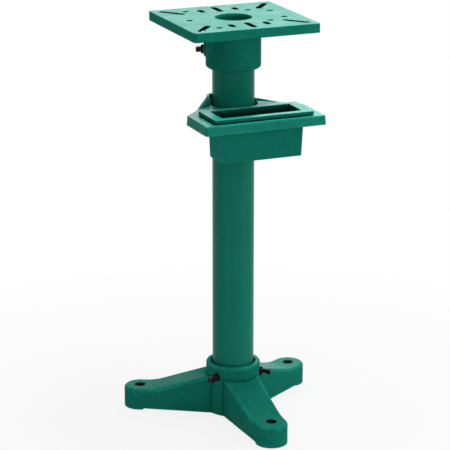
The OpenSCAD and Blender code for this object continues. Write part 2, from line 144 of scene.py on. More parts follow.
def ripple(x, y, z, size):
    """A smooth unevenness between 0 and size's depth, with bumps about size's length apart."""
    depth, length = size
    total = 0.0
    for a, b, c, d in WAVES:
        norm = 2 * math.pi / length / math.sqrt(a * a + b * b + c * c)
        total = total + np.sin((a * x + b * y + c * z) * norm + 9 * d)
    return depth * (0.5 + np.clip(total / 14, -0.5, 0.5))


def surface(field, low, high, step):
    """Quads round the zero level of field, moved on to it: points and corner numbers.
    Only the blocks of the grid that lie near that level are filled in."""
    axes = []
    for a, b in zip(low, high):
        blocks = int((b - a) / step / BLOCK) + 2
        axes.append(a - MARGIN * step + step * np.arange(blocks * BLOCK))
    x, y, z = (axis.reshape(-1, BLOCK) for axis in axes)
    middle = field(x.mean(1)[:, None, None], y.mean(1)[None, :, None], z.mean(1)[None, None, :])
    values = np.empty((len(x), BLOCK, len(y), BLOCK, len(z), BLOCK), np.float32)
    values[:] = middle[:, None, :, None, :, None]
    near = np.argwhere(np.abs(middle) < NEAR * BLOCK * step)
    for start in range(0, len(near), BATCH):
        i, j, k = near[start:start + BATCH].T
        inner = field(x[i][:, :, None, None], y[j][:, None, :, None], z[k][:, None, None, :])
        values[i, :, j, :, k, :] = inner
    values = values.reshape([len(axis) for axis in axes])
    inside = values < 0
    shape = np.array(values.shape)
    strides = np.array([shape[1] * shape[2], shape[2], 1])
    cells, spots, faces = [], [], []
    for axis in range(3):
        n = shape[axis]
        first = [slice(None)] * 3
        second = [slice(None)] * 3
        first[axis], second[axis] = slice(0, n - 1), slice(1, n)
        at = np.stack(np.nonzero(inside[tuple(first)] != inside[tuple(second)]), 1)
        one, step_on = np.ravel_multi_index(at.T, shape), strides[axis]
        a, b = values.ravel()[one], values.ravel()[one + step_on]
        spot = at.astype(float)
        spot[:, axis] += a / (a - b)
        s1, s2 = strides[(axis + 1) % 3], strides[(axis + 2) % 3]
        ring = np.stack([one - s1 - s2, one - s2, one, one - s1], 1)
        cells.append(ring.ravel())
        spots.append(np.repeat(spot, 4, 0))
        faces.append(np.where((a < 0)[:, None], ring, ring[:, ::-1]))
    cells, spots, faces = np.concatenate(cells), np.concatenate(spots), np.concatenate(faces)
    names, inverse = np.unique(cells, return_inverse=True)
    count = np.bincount(inverse)
    points = np.stack([np.bincount(inverse, spots[:, k]) / count for k in range(3)], 1)
    points = points * step + np.array([a[0] for a in axes])
    faces = np.searchsorted(names, faces)
    ends = np.concatenate([faces[:, [k, (k + 1) % 4]] for k in range(4)])
    reach = np.bincount(ends[:, 0], minlength=len(points))
    # Each turn moves the points on to the surface, and the first two even them out before that
    for turn in range(4):
        if turn < 2:
            near_by = points[ends[:, 1]]
            around = np.stack([np.bincount(ends[:, 0], near_by[:, k], len(points)) for k in range(3)], 1)
            points = 0.5 * points + 0.5 * around / reach[:, None]
        level, g = level_and_gradient(field, points)
        move = level / np.maximum((g * g).sum(1), 0.1)
        points = points - g * np.clip(move, -step, step)[:, None]
    return points, faces


def level_and_gradient(field, points):
    """The field and its gradient, from four samples round each point."""
    reach, level, slope = 0.02, 0.0, 0.0
    for way in ((1, -1, -1), (-1, -1, 1), (-1, 1, -1), (1, 1, 1)):
        sample = field(*(points + reach * np.array(way)).T)
        level = level + sample / 4
        slope = slope + sample[:, None] * np.array(way) / (4 * reach)
    return level, slope


def bend(field, points):
    """1 on a sharp outer edge, 0 on a flat, -1 in a sharp crease."""
    reach, sharpness, total = 1.6, 9, 0.0
    for way in ((1, 0, 0), (-1, 0, 0), (0, 1, 0), (0, -1, 0), (0, 0, 1), (0, 0, -1)):
        total = total + field(*(points + reach * np.array(way)).T) / 6
    return np.clip(total * sharpness, -1, 1)


def make(name, points, faces):
    """An object of points in millimetres and rows of corner numbers."""
    mesh = bpy.data.meshes.new(name)
    mesh.vertices.add(len(points))
    mesh.vertices.foreach_set("co", (np.asarray(points) * MM).ravel())
    mesh.loops.add(faces.size)
    mesh.loops.foreach_set("vertex_index", faces.astype(np.int32).ravel())
    mesh.polygons.add(len(faces))
    mesh.polygons.foreach_set("loop_start", np.arange(0, faces.size, faces.shape[1], dtype=np.int32))
    mesh.update(calc_edges=True)
    obj = bpy.data.objects.new(name, mesh)
    bpy.context.scene.collection.objects.link(obj)
    return obj


def cast(name, field, low, high, step, look, detail=None):
    """One piece's mesh, with the field's normals. Flat places are merged, tile by tile, but not
    where detail is true.
    look gives each point's coarseness, gloss, painted sheen, painted shade and the strength of a
    painted highlight on convex edges. The painted-light attribute is above 0 where that highlight is
    painted and below 0 where shade is painted, in creases too."""
    points, faces = surface(field, low, high, step * (1))
    obj = make(name, points, faces)
    mesh = obj.data
    tiles = np.floor(points[faces].mean(1) / (TILE * step)).astype(int).sum(1) % 2
    mesh.polygons.foreach_set("material_index", tiles.astype(np.int32))
    bm = bmesh.new()
    bm.from_mesh(mesh)
    verts, edges = bm.verts, bm.edges
    if detail is not None:
        kept = detail(*points.T)
        verts = [v for v in bm.verts if not kept[v.index]]
        edges = [e for e in bm.edges if not (kept[e.verts[0].index] or kept[e.verts[1].index])]
    flat = math.radians(0.25)
    bmesh.ops.dissolve_limit(bm, angle_limit=flat, verts=verts, edges=edges, delimit={"MATERIAL"})
    bm.to_mesh(mesh)
    bm.free()
    mesh.polygons.foreach_set("material_index", np.zeros(len(mesh.polygons), np.int32))
    spots = np.empty(len(mesh.vertices) * 3)
    mesh.vertices.foreach_get("co", spots)
    spots = spots.reshape(-1, 3) / MM
    normals = level_and_gradient(field, spots)[1]
    normals /= np.linalg.norm(normals, axis=1)[:, None]
    mesh.polygons.foreach_set("use_smooth", [True] * len(mesh.polygons))
    mesh.normals_split_custom_set_from_vertices(normals.tolist())
    coarse, gloss, painted_sheen, dark, painted_light = (np.broadcast_to(v, len(spots)) for v in look(spots, normals))
    # The third channel of look is the painted sheen
    values = np.stack([coarse, gloss * (1 - dark), painted_sheen], 1).astype(np.float32)
    curve = bend(field, spots)
    # Painted shade in creases, deeper where the field bends inwards
    dark = np.maximum(dark, np.clip((-0.2 - curve) / 1.6, 0, 0.5))
    # Below 0 this holds the painted shade, above 0 the painted highlight on convex edges
    painted_light_marks = np.where(dark > 0, -dark, np.maximum(curve, 0) * painted_light).astype(np.float32)
    mesh.attributes.new("look", "FLOAT_VECTOR", "POINT").data.foreach_set("vector", values.ravel())
    mesh.attributes.new("painted_light", "FLOAT", "POINT").data.foreach_set("value", painted_light_marks)
    print(name, len(mesh.vertices), "points", len(mesh.polygons), "faces")
    return obj


def screw_bores(shape, x, y, z, angles, height, seat):
    """The set screws' holes, and the flats that their nuts seat on."""
    for angle in angles:
        s, t = turned(x, y, angle)
        round_it = np.hypot(t, z - height)
        shape = cut(shape, np.maximum(round_it - SPOT_FACE_R, seat - s), SEAT_EDGE)
        shape = cut(shape, np.maximum(round_it - SCREW_R - THREAD_GAP, BORE_START - s), SEAT_EDGE)
    return shape


def leg_field(s, t, z):
    """One leg in its own frame: s runs out along it, t across it."""
    half = np.where(s < KNEE_R, KNEE_W / 2 + (ROOT_W - KNEE_W) / 2 * (KNEE_R - s) / (KNEE_R - HUB_R),
                    FOOT_R + (KNEE_W / 2 - FOOT_R) * (FOOT_CIRCLE_R - s) / (FOOT_CIRCLE_R - KNEE_R))
    sides = np.where(s < FOOT_CIRCLE_R, np.abs(t) - half, np.hypot(s - FOOT_CIRCLE_R, t) - FOOT_R)
    slope = (ROOT_H - FOOT_H) / (KNEE_R - HUB_R)
    ramp = (z - FOOT_H - slope * (KNEE_R - s)) / math.hypot(1, slope)
    top = blend(z - FOOT_H, ramp, KNEE_BLEND)
    return meet(sides, top, LEG_ROUND)


def base_field(x, y, z):
    radius = np.hypot(x, y)
    hub = meet(radius - HUB_R, z - HUB_H, HUB_ROUND)
    legs = None
    for angle in LEG_ANGLES:
        s, t = turned(x, y, angle)
        leg = np.maximum(leg_field(s, t, z), LEG_START - s)
        legs = leg if legs is None else join(legs, leg, LEG_JOIN)
    body = join(hub, legs, LEG_JOIN)
    body = body + ripple(x, y, z, BASE_SWELL) + ripple(z, x, y, BASE_GRAIN)
    body = meet(body, LEG_LIFT - z, SOFT_EDGE)
    for angle in LEG_ANGLES:
        s, t = turned(x, y, angle)
        pad = meet(np.hypot(s - FOOT_CIRCLE_R, t) - FOOT_R + PAD_INSET, -z, SOFT_EDGE)
        pad = meet(np.maximum(pad, z - PAD_TOP), FOOT_CIRCLE_R - PAD_IN - s, SOFT_EDGE)
        body = np.minimum(body, pad)
        body = cut(body, np.hypot(s - FOOT_CIRCLE_R, t) - FOOT_HOLE_R, FOOT_LIP)
    body = cut(body, np.maximum(radius - HUB_BORE_R, REGISTER_Z - z), HUB_LIP)
    body = cut(body, np.maximum(radius - SOCKET_R, COLUMN_Z0 - z), SOCKET_LIP)
    body = cut(body, radius - SEAT_R, SEAT_LIP)
    return screw_bores(body, x, y, z, LOW_ANGLES.values(), BASE_SCREW_Z, BASE_SEAT)


def plate_slots(x, y):
    slots = None
    for sy in (-1, 1):
        middle = slot(x, y, 0, sy * MIDDLE_SLOT_Y, 90, MIDDLE_SLOT_L)
        slots = middle if slots is None else np.minimum(slots, middle)
        for sx in (-1, 1):
            angle = 90 + sx * sy * (CORNER_SLOT_ANGLE - 90)
            corner = slot(x, y, sx * CORNER_SLOT_X, sy * MIDDLE_SLOT_Y, angle, CORNER_SLOT_L)
            short = slot(x, y, sx * SHORT_SLOT_X, sy * SHORT_SLOT_Y, 90, SHORT_SLOT_L)
            slots = np.minimum(np.minimum(slots, corner), short)
    return slots


def plate_holes(x, y):
    holes = circle(x, y, SINGLE_HOLE_X, 0, HOLE_R)
    for sy in (-1, 1):
        for cx, cy in HOLE_PAIRS:
            holes = np.minimum(holes, circle(x, y, cx, sy * cy, HOLE_R))
    return holes


def plate_field(x, y, z):
    half = (PLATE_W / 2, PLATE_D / 2)
    inner = (half[0] - PLATE_SKIRT, half[1] - PLATE_SKIRT)
    corner = np.where((x < 0) & (y < 0), FRONT_LEFT_CORNER, PLATE_CORNER)
    outline = rectangle(x, y, (-half[0], -half[1]), half, corner)
    slab = meet(outline + ripple(x, y, z, PLATE_SWELL), STAND_H - PLATE_H - z, EDGE)
    hollow = rectangle(x, y, (-inner[0], -inner[1]), inner, PLATE_CORNER / 2 + 1)
    slab = cut(slab, meet(hollow, z - WEB_Z, PLATE_HOLLOW_ROUND), SOFT_EDGE)
    radius = np.hypot(x, y)
    collar = meet(radius - COLLAR_R, COLLAR_Z0 - z, COLLAR_ROUND)
    for angle in HIGH_ANGLES.values():
        s, t = turned(x, y, angle)
        off_axis = np.where(z < PLATE_SCREW_Z, np.hypot(t, z - PLATE_SCREW_Z), np.abs(t))
        boss = meet(off_axis - BOSS_R, s - PLATE_SEAT, EDGE)
        collar = join(collar, np.maximum(boss, -s), BOSS_JOIN)
    slab = join(slab, np.maximum(collar, z - WEB_Z - 2), COVE)
    # The top is ground flat, so the grain ends just below it
    slab = slab + ripple(x, y, z, PLATE_GRAIN) * np.clip((STAND_H - 3 - z) / 3, 0, 1)
    slab = meet(slab, z - STAND_H, PLATE_TOP_EDGE)
    slab = cut(slab, np.maximum(radius - SOCKET_R, z - WEB_Z), PLATE_SOCKET_EDGE)
    holes = np.minimum(radius - CENTRE_R, plate_holes(x, y))
    slab = cut(slab, np.maximum(holes, WEB_Z - 3 - z), HOLE_EDGE)
    slab = cut(slab, np.maximum(plate_slots(x, y), WEB_Z - 3 - z), EDGE)
    return screw_bores(slab, x, y, z, HIGH_ANGLES.values(), PLATE_SCREW_Z, PLATE_SEAT)


def tray_outline(x, y, inset):
    sides = meet(np.abs(x) - TRAY_W / 2, -TRAY_FRONT - y, TRAY_CORNER)
    slant = (np.abs(x) + y - TRAY_SUM) / math.sqrt(2)
    return meet(meet(sides, slant, TRAY_REAR_CORNER), y, 1) + inset


def tray_field(x, y, z):
    radius = np.hypot(x, y)
    flare = SKIRT_FLARE * (TRAY_Z - z - TRAY_H / 2)
    outline = tray_outline(x, y, 0) - flare + ripple(x, y, z, TRAY_SWELL)
    slab = meet(outline, TRAY_Z - TRAY_H - z, EDGE)
    hollow = meet(tray_outline(x, y, TRAY_SKIRT) - flare, z - TRAY_Z + TRAY_WEB, TRAY_LOW_ROUND)
    slab = cut(slab, hollow, SOFT_EDGE)
    slab = meet(slab, z - TRAY_Z, TRAY_TOP_EDGE)
    slope = RIM_LEFT_H / (CREST_LOW + CREST_FULL)
    fall = (RIM_LEFT_H - RIM_RIGHT_H) / (2 * TRAY_SUM)
    crest = (z - TRAY_Z - slope * (y + CREST_LOW)) / math.hypot(1, slope)
    middle_h = (RIM_LEFT_H + RIM_RIGHT_H) / 2
    crest = meet(crest, (z - TRAY_Z - middle_h + fall * x) / math.hypot(1, fall), CREST_ROUND)
    slant = (np.abs(x) + y - TRAY_SUM) / math.sqrt(2) + CHEEK_STEP
    cheek = np.maximum(np.maximum(slant, -slant - CHEEK_T), y - CREST_FULL)
    wall = join(cheek, np.maximum(radius - TRAY_RIM_R, -y), CREST_ROUND)
    slab = join(slab, np.maximum(meet(wall, crest, EDGE), TRAY_Z - 4 - z), SOFT_EDGE)
    collar = meet(radius - TRAY_COLLAR_R, TRAY_COLLAR_Z0 - z, TRAY_LOW_ROUND)
    collar = np.maximum(collar, z - TRAY_Z + 2)
    for angle in LOW_ANGLES.values():
        s, t = turned(x, y, angle)
        boss = meet(np.hypot(t, z - TRAY_SCREW_Z) - BOSS_R, s - TRAY_SEAT, EDGE)
        collar = join(collar, np.maximum(boss, -s), TRAY_LOW_ROUND)
    slab = join(slab, collar, TRAY_LOW_ROUND)
    # The grain is fainter near the top
    slab = slab + ripple(x, y, z, TRAY_GRAIN) * np.clip(abs(z - TRAY_Z) / 3, 0.2, 1)
    slab = cut(slab, radius - TRAY_BORE_R, EDGE)
    opening = rectangle(x, y, (-MOUTH_X - POT_WALL - POT_GAP, -MOUTH_FRONT - POT_END_WALL - POT_GAP),
                        (MOUTH_X + POT_WALL + POT_GAP, -MOUTH_REAR + POT_END_WALL + POT_GAP),
                        POT_CORNER + POT_GAP)
    slab = cut(slab, opening, EDGE)
    return screw_bores(slab, x, y, z, LOW_ANGLES.values(), TRAY_SCREW_Z, TRAY_SEAT)


def flange_outline(x, y):
    low, high = (-POT_FLANGE_X, -POT_FRONT), (POT_FLANGE_X, -POT_REAR)
    return rectangle(x, y, low, high, POT_FLANGE_CORNER)


def pot_mouth(x, y, z):
    inner = rectangle(x, y, (-MOUTH_X, -MOUTH_FRONT), (MOUTH_X, -MOUTH_REAR), POT_CORNER - POT_WALL / 2)
    return inner + POT_DRAFT * (POT_TOP - z) / POT_H


def pot_field(x, y, z):
    flange_z = TRAY_Z + POT_LAND_H
    low = POT_TOP - POT_H
    draft = POT_DRAFT * (POT_TOP - z) / POT_H
    outer = rectangle(x, y, (-MOUTH_X - POT_WALL, -MOUTH_FRONT - POT_END_WALL),
                      (MOUTH_X + POT_WALL, -MOUTH_REAR + POT_END_WALL), POT_CORNER - 1)
    body = meet(outer + draft + ripple(x, y, z, POT_SWELL), low - z, SOFT_EDGE)
    land = np.maximum(outer - POT_GAP - POT_LAND_W, TRAY_Z - z)
    flange = meet(flange_outline(x, y) + ripple(x, y, z, FLANGE_SWELL), flange_z - z, EDGE)
    shape = np.minimum(body, np.maximum(land, z - flange_z - 1))
    shape = np.minimum(shape, np.maximum(flange, z - POT_TOP - 2))
    shape = meet(shape + ripple(x, y, z, POT_GRAIN), z - POT_TOP, 1)
    return cut(shape, meet(pot_mouth(x, y, z), low + POT_FLOOR - z, 4), EDGE)


def screw_field(length):
    """A set screw along +Z from its point at 0: thread, cup point and square head."""
    def field(x, y, z):
        r = np.hypot(x, y)
        turn = z / PITCH - np.arctan2(y, x) / (2 * math.pi)
        wave = np.abs(turn - np.floor(turn) - 0.5) * 2
        depth = THREAD_DEPTH * np.clip(1.25 * wave - 0.1, 0, 1)
        fade = np.clip(z, 0, 1) * np.clip((length - 1.5 - z) / 1.5, 0, 1)
        # The thread ends below the head in a neck, and 0.8 makes up for the field's slope on it
        shank = (r - SCREW_R + 0.05 + depth * fade + 0.35 * (1 - fade) * (z > length / 2)) * 0.8
        shank = meet(shank, -z, 0.3)
        shank = np.maximum(shank, (r - z - SCREW_R + 1) / math.sqrt(2))
        shank = cut(shank, (r - CUP_R + z) / math.sqrt(2), 0.2)
        head = meet(np.abs(x) - HEAD_W / 2, np.abs(y) - HEAD_W / 2, 0.4)
        steep = math.hypot(1, HEAD_BEVEL)
        head = meet(head, (r + HEAD_BEVEL * (z - length - HEAD_L) - HEAD_W / 2) / steep, 0.3)
        head = meet(head, z - length - HEAD_L, 0.5)
        head = meet(head, (r - HEAD_BEVEL * (z - length) - HEAD_W / 2 - 0.3) / steep, 0.3)
        return join(np.maximum(shank, z - length - 2), np.maximum(head, length - z), 0.5)
    return field


def nut_field(x, y, z):
    """A hexagon nut along +Z from 0, bevelled at both ends."""
    r = np.hypot(x, y)
    shape = None
    for angle in (0, 60, 120):
        flat = np.abs(turned(x, y, angle + 30)[0]) - NUT_W / 2
        shape = flat if shape is None else meet(shape, flat, 0.25)
    for end in (-z, z - NUT_T):
        shape = meet(shape, end, 0.25)
        bevel = (r - NUT_W / 2 + NUT_BEVEL * (end + 0.15)) / math.hypot(1, NUT_BEVEL)
        shape = meet(shape, bevel, 0.2)
    mouth = np.maximum(0, 0.8 - np.minimum(z, NUT_T - z)) * 0.7
    return cut(shape, r - SCREW_R - THREAD_GAP - mouth, 0.1)


def lathe(name, profile, turns):
    """A ring of quads for each pair of neighbouring (radius, height) points."""
    profile = np.asarray(profile, float)
    angles = np.arange(turns) * 2 * math.pi / turns
    ring = np.stack([np.cos(angles), np.sin(angles)], 1)
    points = np.concatenate([np.column_stack([ring * r, np.full(turns, z)]) for r, z in profile])
    k, n = len(profile), turns
    i, j = np.meshgrid(np.arange(k), np.arange(n), indexing="ij")
    a, b = i * n + j, i * n + (j + 1) % n
    c, d = (i + 1) % k * n + (j + 1) % n, (i + 1) % k * n + j
    return make(name, points, np.stack([a, b, c, d], -1).reshape(-1, 4))


# Colours of the enamel and of the screws' oxide
ENAMEL = (0.010, 0.245, 0.175)
DEEP = (0.004, 0.175, 0.125)  # where the enamel lies thick
PALE = (0.020, 0.350, 0.270)  # round its pits
PAINTED_SHEEN_MINT = (0.028, 0.500, 0.400)  # painted sheen on tops and sides, and painted highlight on edges
PAINTED_SHADE_BLACK = (0.0006, 0.006, 0.0045)  # painted shade in gaps, holes, creases and round the column
OXIDE_DARK, OXIDE_PALE = (0.004, 0.004, 0.004), (0.013, 0.012, 0.011)


def material(name, colour, roughness):
    mat = bpy.data.materials.new(name)
    mat.use_nodes = True
    tree = mat.node_tree
    shader = tree.nodes["Principled BSDF"]
    shader.inputs["Base Color"].default_value = (*colour, 1)
    shader.inputs["Roughness"].default_value = roughness
    return mat, tree, shader


def node(tree, kind, inputs=None, **values):
    out = tree.nodes.new(kind)
    for key, value in values.items():
        setattr(out, key, value)
    for key, value in (inputs or {}).items():
        if isinstance(value, bpy.types.NodeSocket):
            tree.links.new(value, out.inputs[key])
        else:
            out.inputs[key].default_value = value
    return out


def noise(tree, where, scale, detail=2.0, roughness=0.5):
    inputs = {"Vector": where, "Scale": scale, "Detail": detail, "Roughness": roughness}
    return node(tree, "ShaderNodeTexNoise", inputs).outputs["Fac"]


def remap(tree, value, low, high, to_low, to_high):
    return node(tree, "ShaderNodeMapRange", {"Value": value, "From Min": low, "From Max": high,
                                             "To Min": to_low, "To Max": to_high}).outputs["Result"]


def maths(tree, kind, a, b):
    out = node(tree, "ShaderNodeMath", operation=kind)
    for k, value in enumerate((a, b)):
        if isinstance(value, bpy.types.NodeSocket):
            tree.links.new(value, out.inputs[k])
        else:
            out.inputs[k].default_value = value
    return out.outputs[0]


def blend_colour(tree, factor, a, b):
    out = node(tree, "ShaderNodeMix", data_type="RGBA")
    for key, value in ((0, factor), (6, a), (7, b)):
        if isinstance(value, bpy.types.NodeSocket):
            tree.links.new(value, out.inputs[key])
        else:
            out.inputs[key].default_value = value
    return out.outputs[2]


def cast_enamel():
    """Enamel over sand-cast iron: coarse where the casting is, with a painted highlight on its edges and
    painted shade in its creases and gaps.
    """
    mat, tree, shader = material("cast_enamel", ENAMEL, 0.35)
    where = node(tree, "ShaderNodeTexCoord").outputs["Object"]
    look = node(tree, "ShaderNodeAttribute", attribute_name="look").outputs["Vector"]
    coarse, gloss, painted_sheen = node(tree, "ShaderNodeSeparateXYZ", {"Vector": look}).outputs
    painted_light = node(tree, "ShaderNodeAttribute", attribute_name="painted_light").outputs["Fac"]
    grain = noise(tree, where, 560, 3, 0.65)
    pits = noise(tree, where, 260, 2, 0.5)
    cloud = noise(tree, where, 22, 3, 0.55)
    tone = blend_colour(tree, remap(tree, cloud, 0.35, 0.68, 0, 0.4), (*ENAMEL, 1), (*DEEP, 1))
    spots = maths(tree, "MULTIPLY", remap(tree, pits, 0.54, 0.72, 0, 0.5), coarse)
    tone = blend_colour(tree, spots, tone, (*PALE, 1))
    dots = maths(tree, "MULTIPLY", remap(tree, grain, 0.46, 0.32, 0, 0.7), coarse)
    tone = blend_colour(tree, dots, tone, (*DEEP, 1))
    # Painted sheen: the paler tops and sides that look gives
    tone = blend_colour(tree, painted_sheen, tone, (*PAINTED_SHEEN_MINT, 1))
    # Painted highlight on convex edges, in patches
    patchy = maths(tree, "MULTIPLY", remap(tree, pits, 0.35, 0.6, 0.3, 1),
                   remap(tree, cloud, 0.35, 0.6, 1, 0.35))
    painted_light_marks = maths(tree, "MULTIPLY", remap(tree, painted_light, 0.1, 0.6, 0, 0.8), patchy)
    tone = blend_colour(tree, painted_light_marks, tone, (*PAINTED_SHEEN_MINT, 1))
    # Painted shade in gaps, holes, creases and round the column
    tone = blend_colour(tree, remap(tree, painted_light, 0, -1, 0, 1), tone, (*PAINTED_SHADE_BLACK, 1))
    tree.links.new(tone, shader.inputs["Base Color"])
    tree.links.new(remap(tree, cloud, 0.3, 0.7, 0.3, 0.42), shader.inputs["Roughness"])
    shader.inputs["Specular IOR Level"].default_value = 0.1
    tree.links.new(remap(tree, gloss, 0, 1, 0.012, 0.5), shader.inputs["Specular IOR Level"])
    height = maths(tree, "ADD", maths(tree, "MULTIPLY", grain, 0.35), maths(tree, "MULTIPLY", pits, 0.65))
    bump = node(tree, "ShaderNodeBump", {"Height": height, "Distance": 0.0006})
    tree.links.new(remap(tree, coarse, 0, 2, 0.05, 0.95), bump.inputs["Strength"])
    tree.links.new(bump.outputs["Normal"], shader.inputs["Normal"])
    shader.inputs["IOR"].default_value = 1.22
    return mat


def tube_enamel():
    """Smooth enamel on drawn tube, with faint streaks along it."""
    mat, tree, shader = material("tube_enamel", ENAMEL, 0.2)
    where = node(tree, "ShaderNodeTexCoord").outputs["Object"]
    cloud = noise(tree, where, 9, 3, 0.5)
    drawn_out = node(tree, "ShaderNodeMapping", {"Vector": where, "Scale": (1, 1, 0.06)}).outputs["Vector"]
    streaks = noise(tree, drawn_out, 60, 3, 0.5)
    tone = blend_colour(tree, remap(tree, cloud, 0.35, 0.68, 0, 0.3), (*ENAMEL, 1), (*DEEP, 1))
    tone = blend_colour(tree, remap(tree, streaks, 0.45, 0.7, 0, 0.15), tone, (*PALE, 1))
    tree.links.new(tone, shader.inputs["Base Color"])
    tree.links.new(remap(tree, streaks, 0.3, 0.7, 0.17, 0.26), shader.inputs["Roughness"])
    peel = noise(tree, where, 300, 2, 0.5)
    bump = node(tree, "ShaderNodeBump", {"Height": peel, "Strength": 0.1, "Distance": 0.0004})
    tree.links.new(bump.outputs["Normal"], shader.inputs["Normal"])
    shader.inputs["IOR"].default_value = 1.12
    return mat


def black_oxide():
    """Blackened steel of the screws and nuts."""
    mat, tree, shader = material("black_oxide", (0.006, 0.006, 0.006), 0.35)
    where = node(tree, "ShaderNodeTexCoord").outputs["Object"]
    cloud = noise(tree, where, 420, 3, 0.6)
    tone = blend_colour(tree, remap(tree, cloud, 0.35, 0.7, 0, 1), (*OXIDE_DARK, 1), (*OXIDE_PALE, 1))
    tree.links.new(tone, shader.inputs["Base Color"])
    tree.links.new(remap(tree, cloud, 0.3, 0.7, 0.26, 0.42), shader.inputs["Roughness"])
    bump = node(tree, "ShaderNodeBump", {"Height": cloud, "Strength": 0.2, "Distance": 0.0002})
    tree.links.new(bump.outputs["Normal"], shader.inputs["Normal"])
    shader.inputs["IOR"].default_value = 1.3
    shader.inputs["Specular IOR Level"].default_value = 0.35
    return mat


CAST, TUBE, OXIDE = cast_enamel(), tube_enamel(), black_oxide()


def finish_piece(obj, body, cad_node, mat):
    obj.data.materials.clear()
    obj.data.materials.append(mat)
    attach(obj, body)
    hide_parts(cad_node)


def top_share(spots, normals, height):
    """1 on the top face at that height and 0 away from it."""
    return np.clip((normals[:, 2] - 0.75) / 0.2, 0, 1) * (spots[:, 2] > height - 2)


# Each look returns coarseness, gloss, painted sheen, painted shade and the strength of the painted edge
# highlight, as cast() takes them
def even_look(spots, normals):
    return 1.0, 0.0, 0.0, 0.0, 0.0


def base_look(spots, normals):
    x, y, z = spots.T
    # Painted shade on the walls of the foot holes, below the feet's tops
    dark = 0.0
    for angle in LEG_ANGLES:
        s, t = turned(x, y, angle)
        dark = np.maximum(dark, np.hypot(s - FOOT_CIRCLE_R, t) < FOOT_HOLE_R + 1.0)
    # Painted highlight and sheen on the tops of the right leg and, fainter, of the left leg
    painted_highlight = np.clip((x - 5) / 30, 0, 1) + 0.4 * np.clip((-x - 50) / 30, 0, 1)
    painted_highlight = painted_highlight * np.clip((normals[:, 2] - 0.75) / 0.2, 0, 1) * np.clip((y + 55) / 15, 0, 1)
    return 1.2, 0.3 * painted_highlight, 0.3 * painted_highlight, dark * np.clip(FOOT_H - z + 0.2, 0, 0.9), 0.9


def plate_look(spots, normals):
    x, y, z = spots.T
    top = top_share(spots, normals, STAND_H)
    # Painted shade on the walls of the slots and holes, below the top
    wall = np.clip((STAND_H - 0.1 - z) / 0.5, 0, 1) * (z > WEB_Z - 1)
    dark = np.maximum((plate_slots(x, y) < 1.6) * 1.0, (plate_holes(x, y) < 0.8) * 0.4)
    # Painted sheen on the top and on the left faces of the slab
    left = 0.12 * (normals[:, 0] < -0.6) * (z > STAND_H - PLATE_H)
    return 1.2 - 0.7 * top, 0.17 * top, np.maximum(0.22 * top, left), dark * wall, 0.3


def tray_detail(x, y, z):
    """Where the tray's top keeps its fine points: round the pot's flange."""
    near = flange_outline(x, y)
    return (near > -8) & (near < 4.5) & (np.abs(z - TRAY_Z) < 1)


def tray_look(spots, normals):
    x, y, z = spots.T
    top = top_share(spots, normals, TRAY_Z)
    near = flange_outline(x, y)
    # Painted shade round the pot's flange, under its edge and in the gap beside it
    shaded = 0.95 * np.clip(np.minimum(2.5 - near, near + 7) / 1.5, 0, 1)
    shaded = shaded * (z > TRAY_Z - 2) * (y > -POT_FRONT - 3)
    # Painted shade and reflection of the column on the top in front of it
    painted_tube_shade = 0.5 * np.clip((85 - np.hypot(x, y)) / 25, 0, 1) * (y < -20) * top
    # Painted sheen on the top, fainter at its front edge, and on the skirt
    front = np.clip((y + TRAY_FRONT - 2) / 4, 0.2, 1)
    skirt = (np.abs(normals[:, 2]) < 0.5) * (z > TRAY_Z - TRAY_H - 1)
    gloss = np.maximum(0.65 * top * front, 0.2 * skirt)
    painted_sheen = np.maximum(top * front, 0.14 * skirt)
    return 1.5, gloss, painted_sheen, np.maximum(shaded, painted_tube_shade), 0.5


def pot_look(spots, normals):
    x, y, z = spots.T
    # Painted shade inside the pot, deeper further down
    inner = (pot_mouth(x, y, z) < 1.5) & (z < POT_TOP - 1) & (z > POT_TOP - POT_H + 1)
    top = top_share(spots, normals, POT_TOP)
    # Painted shade under the flange and on its sides
    under = (z < TRAY_Z + POT_LAND_H + 0.5) & (z > TRAY_Z - 1) & (normals[:, 2] < -0.3)
    edge = (z > TRAY_Z) & (z < POT_TOP - 0.8) & (normals[:, 2] < 0.5)
    # Painted shade and reflection of the column on the flange's top
    painted_tube_shade = 0.5 * np.clip((85 - np.hypot(x, y)) / 15, 0, 1) * top
    outer_dark = np.maximum(np.where(under, 1.0, 0.25 * edge), painted_tube_shade)
    dark = np.where(inner, np.clip(0.5 + (POT_TOP - z) / 25, 0, 0.95), outer_dark)
    # Painted sheen on the flange's top and on the left faces of the body
    left = 0.3 * (normals[:, 0] < -0.6) * (z < TRAY_Z)
    return np.where(inner, 2.5, 1.0), 0.65 * top, np.maximum(top, left), dark, 0.15


reach = FOOT_CIRCLE_R + FOOT_R
base = cast("base_body", base_field, (-reach, -reach, 0), (reach, reach, HUB_H), step=1.5, look=base_look)
finish_piece(base, "base", "base_casting", CAST)
plate = cast("top_plate_body", plate_field, (-PLATE_W / 2, -PLATE_D / 2, COLLAR_Z0),
             (PLATE_W / 2, PLATE_D / 2, STAND_H), step=1.2, look=plate_look)
finish_piece(plate, "plate", "top_plate", CAST)
tray = cast("tool_tray_body", tray_field, (-TRAY_W / 2, -TRAY_FRONT, TRAY_COLLAR_Z0),
            (TRAY_W / 2, TRAY_SEAT + 3, TRAY_Z + RIM_LEFT_H), step=1.2, look=tray_look,
            detail=tray_detail)
finish_piece(tray, "tray", "tool_tray", CAST)
pot = cast("water_pot_body", pot_field, (-POT_FLANGE_X, -POT_FRONT, POT_TOP - POT_H),
           (POT_FLANGE_X, -POT_REAR, POT_TOP), step=1.1, look=pot_look)
finish_piece(pot, "pot", "water_pot", CAST)

